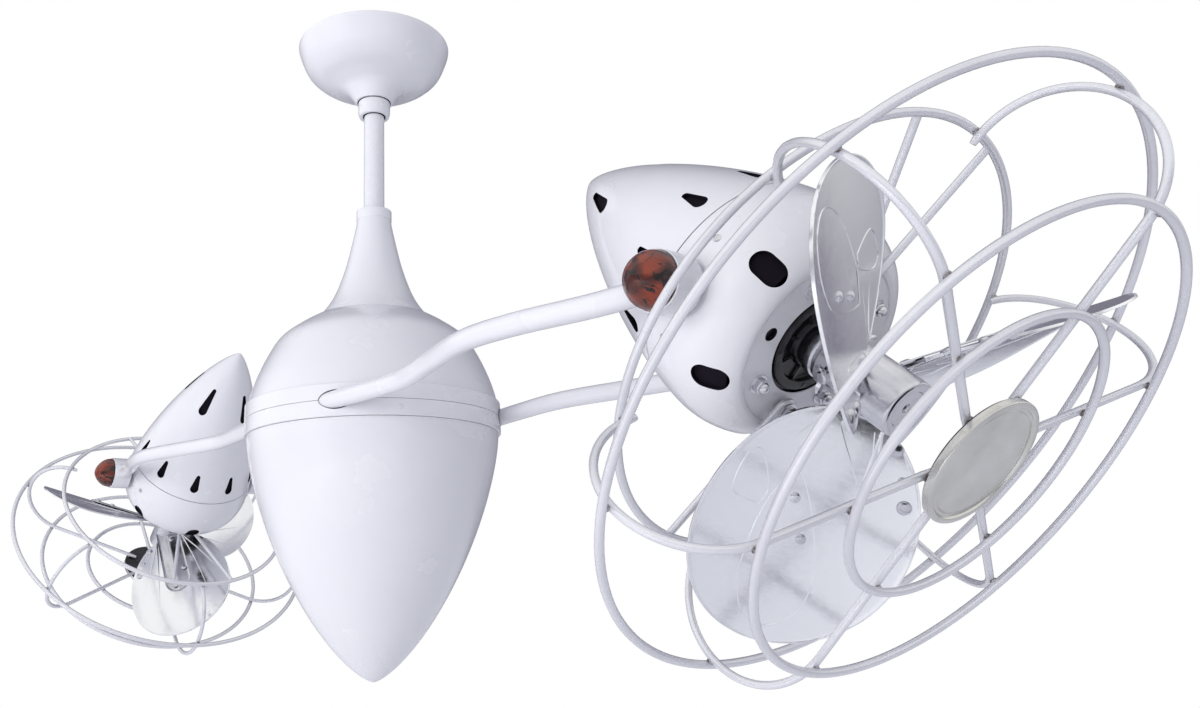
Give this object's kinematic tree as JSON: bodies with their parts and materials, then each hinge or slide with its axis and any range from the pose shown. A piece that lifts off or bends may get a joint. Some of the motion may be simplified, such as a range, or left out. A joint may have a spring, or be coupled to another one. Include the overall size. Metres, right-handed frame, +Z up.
{
  "type": "ceiling fan",
  "caption": "Ceiling fan whose egg-shaped body turns on a downrod and carries caged fan heads on bent arms; each head tilts between its arms and spins broad petal blades.",
  "frame": {"origin": "on the downrod's axis in the plane of the ceiling, at the middle of the ceiling bracket's top face", "axes": "+Z up along the downrod; +X along the arms towards the fan head that is nearer in the picture; +Y away from the picture's camera side"},
  "size_m": [1.4054, 0.4022, 0.6675],
  "materials": {
    "white_paint": "smooth gloss white paint over spun and pressed metal",
    "cage_wire": "satin silver-white paint over welded steel wire",
    "polished_metal": "polished and plated, mirror-like",
    "zinc_plate": "dull zinc plate on pressed steel",
    "motor_black": "semi-gloss black paint on cast and turned motor cases",
    "knob_stone": "polished red-brown stone-like knob with black streaks"
  },
  "bodies": {
    "mount": {"ceiling_bracket": "zinc_plate", "hanger_ball": "motor_black", "canopy": "white_paint", "canopy_collar": "white_paint", "downrod": "white_paint", "hanger_cone": "white_paint", "turn_motor": "motor_black"},
    "turning_body": {"upper_shell": "white_paint", "upper_band": "white_paint", "lower_band": "white_paint", "lower_shell": "white_paint", "arm_carrier": "zinc_plate", "right_arm_front": "white_paint", "right_arm_back": "white_paint", "left_arm_front": "white_paint", "left_arm_back": "white_paint"},
    "right_head": {"right_rear_shell": "white_paint", "right_front_shell": "white_paint", "right_motor": "motor_black", "right_pivot_pin_front": "polished_metal", "right_pivot_pin_back": "polished_metal", "right_knob_front": "knob_stone", "right_knob_back": "knob_stone", "right_ring_1": "cage_wire", "right_ring_2": "cage_wire", "right_ring_3": "cage_wire", "right_rear_cage": "cage_wire", "right_badge": "polished_metal", "right_spoke_1": "cage_wire", "right_spoke_2": "cage_wire", "right_spoke_3": "cage_wire", "right_spoke_4": "cage_wire", "right_spoke_5": "cage_wire", "right_spoke_6": "cage_wire"},
    "right_rotor": {"right_blade_holder": "polished_metal", "right_blade_1": "polished_metal", "right_blade_2": "polished_metal", "right_blade_3": "polished_metal"},
    "left_head": {"left_rear_shell": "white_paint", "left_front_shell": "white_paint", "left_motor": "motor_black", "left_pivot_pin_front": "polished_metal", "left_pivot_pin_back": "polished_metal", "left_knob_front": "knob_stone", "left_knob_back": "knob_stone", "left_ring_1": "cage_wire", "left_ring_2": "cage_wire", "left_ring_3": "cage_wire", "left_rear_cage": "cage_wire", "left_badge": "polished_metal", "left_spoke_1": "cage_wire", "left_spoke_2": "cage_wire", "left_spoke_3": "cage_wire", "left_spoke_4": "cage_wire", "left_spoke_5": "cage_wire", "left_spoke_6": "cage_wire"},
    "left_rotor": {"left_blade_holder": "polished_metal", "left_blade_1": "polished_metal", "left_blade_2": "polished_metal", "left_blade_3": "polished_metal"}
  },
  "joints": [
    {"name": "body_turn", "type": "hinge", "parent": "mount", "child": "turning_body", "pos_m": [0, 0, -0.422], "axis": [0, 0, 1], "continuous": true},
    {"name": "right_head_tilt", "type": "hinge", "parent": "turning_body", "child": "right_head", "pos_m": [0.474, 0, -0.42205], "axis": [0, -1, 0], "range_deg": [-46.2, 133.8]},
    {"name": "right_rotor_spin", "type": "hinge", "parent": "right_head", "child": "right_rotor", "pos_m": [0.474, 0, -0.42205], "axis": [0.7218, 0, -0.6921], "continuous": true},
    {"name": "left_head_tilt", "type": "hinge", "parent": "turning_body", "child": "left_head", "pos_m": [-0.474, 0, -0.42205], "axis": [0, 1, 0], "range_deg": [-46.2, 133.8]},
    {"name": "left_rotor_spin", "type": "hinge", "parent": "left_head", "child": "left_rotor", "pos_m": [-0.474, 0, -0.42205], "axis": [-0.7218, 0, -0.6921], "continuous": true}
  ]
}
